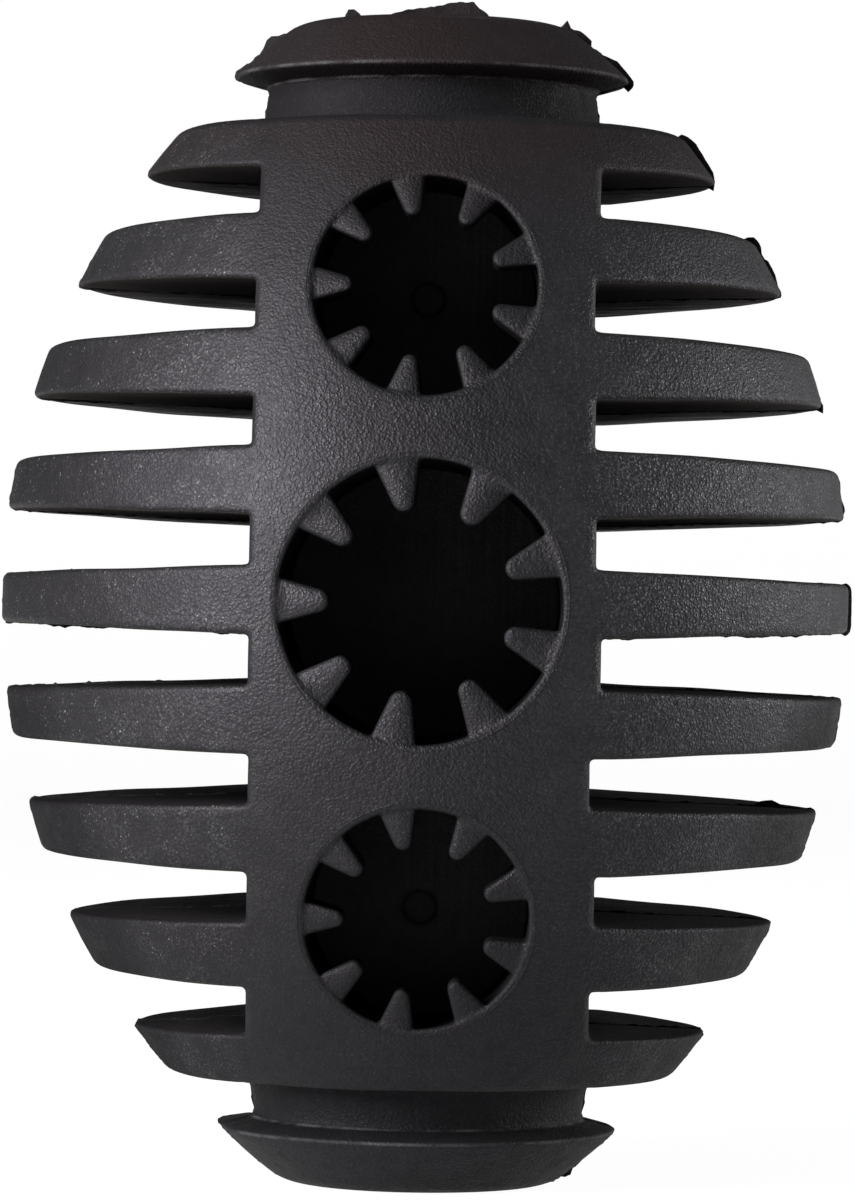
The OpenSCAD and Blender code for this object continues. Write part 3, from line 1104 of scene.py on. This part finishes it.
def make_rubber(name, shade, depth):
    """The rubber, or a darker and smoother torn film of it. The depth is that of its grain."""
    material, flow = new_material(name)
    at = find_place(flow)
    skin = find_skin(at)
    # The gaps take their painted light and painted shade.
    colour = mix_colours(at.gap * 0.85, outside_colour(at, skin, shade), gap_painted_light(at, skin))
    # Painted shade darkens the pockets' walls.
    colour = mix_colours(at.hole * 0.8, colour, tint(POCKET_WALL_PAINTED_SHADE))
    # Pocket floors: painted light, with milled lines and the pin's ring.
    colour = mix_colours(at.floors, colour, floor_marks_and_painted_light(at))
    # The pale lines are partly dust and partly a painted highlight.
    colour = mix_colours(skin.lines * 0.65, colour, tint(LINE_DUST_AND_HIGHLIGHT, shade))
    colour = mix_colours(skin.dust, colour, tint(DUST, shade))
    relief = skin.pebble + noise(at.where, 5.0, 1.0) * 0.5 + noise(at.where, 1.2, 1.0) * 0.8
    bump = flow.node("ShaderNodeBump", None,
                     {"Height": relief * (1 - at.left * 0.35), "Strength": 1.0, "Distance": depth})
    shader = flow.node("ShaderNodeBsdfPrincipled", None,
                       {"Base Color": colour, "Roughness": roughness(at, skin), "Normal": bump,
                        "Specular IOR Level": 0.26, "Specular Tint": (0.97, 0.91, 1.0, 1)})
    matt = flow.node("ShaderNodeBsdfDiffuse", None, {"Color": tint(MATT)})
    surface = flow.node("ShaderNodeMixShader", None, {0: dullness(at), 1: shader, 2: matt})
    flow.node("ShaderNodeOutputMaterial", None, {"Surface": surface})
    return material


rubber = make_rubber("black_rubber", 1.0, GRAIN_DEPTH)
torn = make_rubber("torn_film", 0.5, FILM_GRAIN_DEPTH)
for thing in bpy.data.objects:
    if thing.type == "MESH":
        thing.data.materials.clear()
        thing.data.materials.append(torn if thing.name.startswith("flash") else rubber)
print("rubber nodes", len(rubber.node_tree.nodes))

# %% [markdown]
# ## Camera
# The photograph was taken from straight ahead, about 57 cm away, and the toy leans to the right by less than a degree.
# The toy stays where it is, so the camera takes the opposite of its small turns. Its lens follows from the distance
# and from how many of the picture's 1200 rows one millimetre covers in the middle of the toy.

# %% Set the camera
DISTANCE, PX_PER_MM, PICTURE_PX, SENSOR = 569.0, 10.0, 1200, 36.0
LEAN, NOD, TWIST, SHIFT_X, SHIFT_Z = 0.0147, -0.004, -0.012, -0.23, -0.356
toy = (Matrix.Translation((SHIFT_X * MM, 0, SHIFT_Z * MM)) @ Matrix.Rotation(LEAN, 4, "Y")
       @ Matrix.Rotation(NOD, 4, "X") @ Matrix.Rotation(TWIST, 4, "Z"))
seat = Matrix.Translation((0, -DISTANCE * MM, 0)) @ Matrix.Rotation(pi / 2, 4, "X")
lens = bpy.data.cameras.new("camera")
lens.sensor_fit, lens.sensor_height = "VERTICAL", SENSOR
lens.lens = PX_PER_MM * DISTANCE * SENSOR / PICTURE_PX
camera = bpy.data.objects.new("camera", lens)
camera.matrix_world = toy.inverted() @ seat
bpy.context.scene.collection.objects.link(camera)
bpy.context.scene.camera = camera
print("focal length", round(lens.lens, 2))

# %% [markdown]
# ## Floor, lamps and background
# The floor is pale and runs up behind the toy in one sweep, as in a studio, so that no horizon shows. To the camera
# and in reflections it is nearly plain white, and the small rest of it is matt and keeps the toy's shadow.

# %% Floor and sweep
WHITE_SHARE, WHITE_LEVEL, FLOOR_GREY = 0.9, 1.06, (0.88, 0.88, 0.88)
FLOOR_Z, NEAR_REACH, NEAR_HALF, BACK_HALF = -TOY_LEN / 2 * MM, 0.4, 0.4, 0.37
SWEEP_BACK, SWEEP_R, SWEEP_TOP = 1.5, 0.25, 0.31


def pale_material():
    """White to the camera and in reflections, matt under the lamps."""
    material, flow = new_material("pale_floor")
    seen, glossy, clear = (flow.node("ShaderNodeLightPath", out=f"Is {kind} Ray")
                           for kind in ("Camera", "Glossy", "Transmission"))
    matt = flow.node("ShaderNodeBsdfDiffuse", None, {"Color": tint(FLOOR_GREY)})
    white = flow.node("ShaderNodeEmission", None, {"Color": (1, 1, 1, 1), "Strength": WHITE_LEVEL})
    share = larger(larger(seen, glossy), clear) * WHITE_SHARE
    both = flow.node("ShaderNodeMixShader", None, {0: share, 1: matt, 2: white})
    flow.node("ShaderNodeOutputMaterial", None, {"Surface": both})
    return material


def make_floor():
    """A strip from in front of the toy to far behind it, then up. It is a little wider under the toy."""
    bend_y = SWEEP_BACK - SWEEP_R
    line = [(y, FLOOR_Z) for y in (-NEAR_REACH, 0.0, NEAR_REACH, bend_y)]
    line += [(bend_y + SWEEP_R * sin(a), FLOOR_Z + SWEEP_R * (1 - cos(a))) for a in np.linspace(0, pi / 2, 13)[1:]]
    line += [(SWEEP_BACK, SWEEP_TOP)]
    points = []
    for y, z in line:
        half = BACK_HALF if y >= NEAR_REACH else NEAR_HALF
        points += [(-half, y, z), (half, y, z)]
    mesh = bpy.data.meshes.new("floor")
    mesh.from_pydata(points, [], grid(len(line), 2))
    mesh.polygons.foreach_set("use_smooth", [True] * len(mesh.polygons))
    mesh.materials.append(pale_material())
    floor = bpy.data.objects.new("floor", mesh)
    bpy.context.scene.collection.objects.link(floor)


make_floor()

# %% Lamps
def soft_lamp(name, azimuth, elevation, distance, size, power):
    """A square soft box that faces the toy. Azimuth 0 is in front of it, and a positive one is to the right."""
    data = bpy.data.lights.new(name, "AREA")
    data.shape, data.size, data.energy = "SQUARE", size, power
    a, e = radians(azimuth), radians(elevation)
    spot = Vector((sin(a) * cos(e), -cos(a) * cos(e), sin(e))) * distance
    lamp = bpy.data.objects.new(name, data)
    lamp.location = spot
    lamp.rotation_euler = (-spot).to_track_quat("-Z", "Y").to_euler()
    bpy.context.scene.collection.objects.link(lamp)


soft_lamp("left_box", -52, 14, 0.8, 0.28, 12.2)
soft_lamp("upper_left_box", -50, 32, 0.8, 0.28, 5.0)
soft_lamp("right_box", 104, 12, 0.8, 0.3, 6.2)

# %% Room
ROOM_LEVEL = 0.1


def make_world():
    """An even, dim room round the toy."""
    world = bpy.data.worlds.new("studio")
    world.use_nodes = True
    world.node_tree.nodes.clear()
    flow = Flow(world.node_tree)
    room = flow.node("ShaderNodeBackground", None, {"Color": (1, 1, 1, 1), "Strength": ROOM_LEVEL})
    flow.node("ShaderNodeOutputWorld", None, {"Surface": room})
    bpy.context.scene.world = world


make_world()
bpy.context.scene.view_settings.view_transform = "Standard"
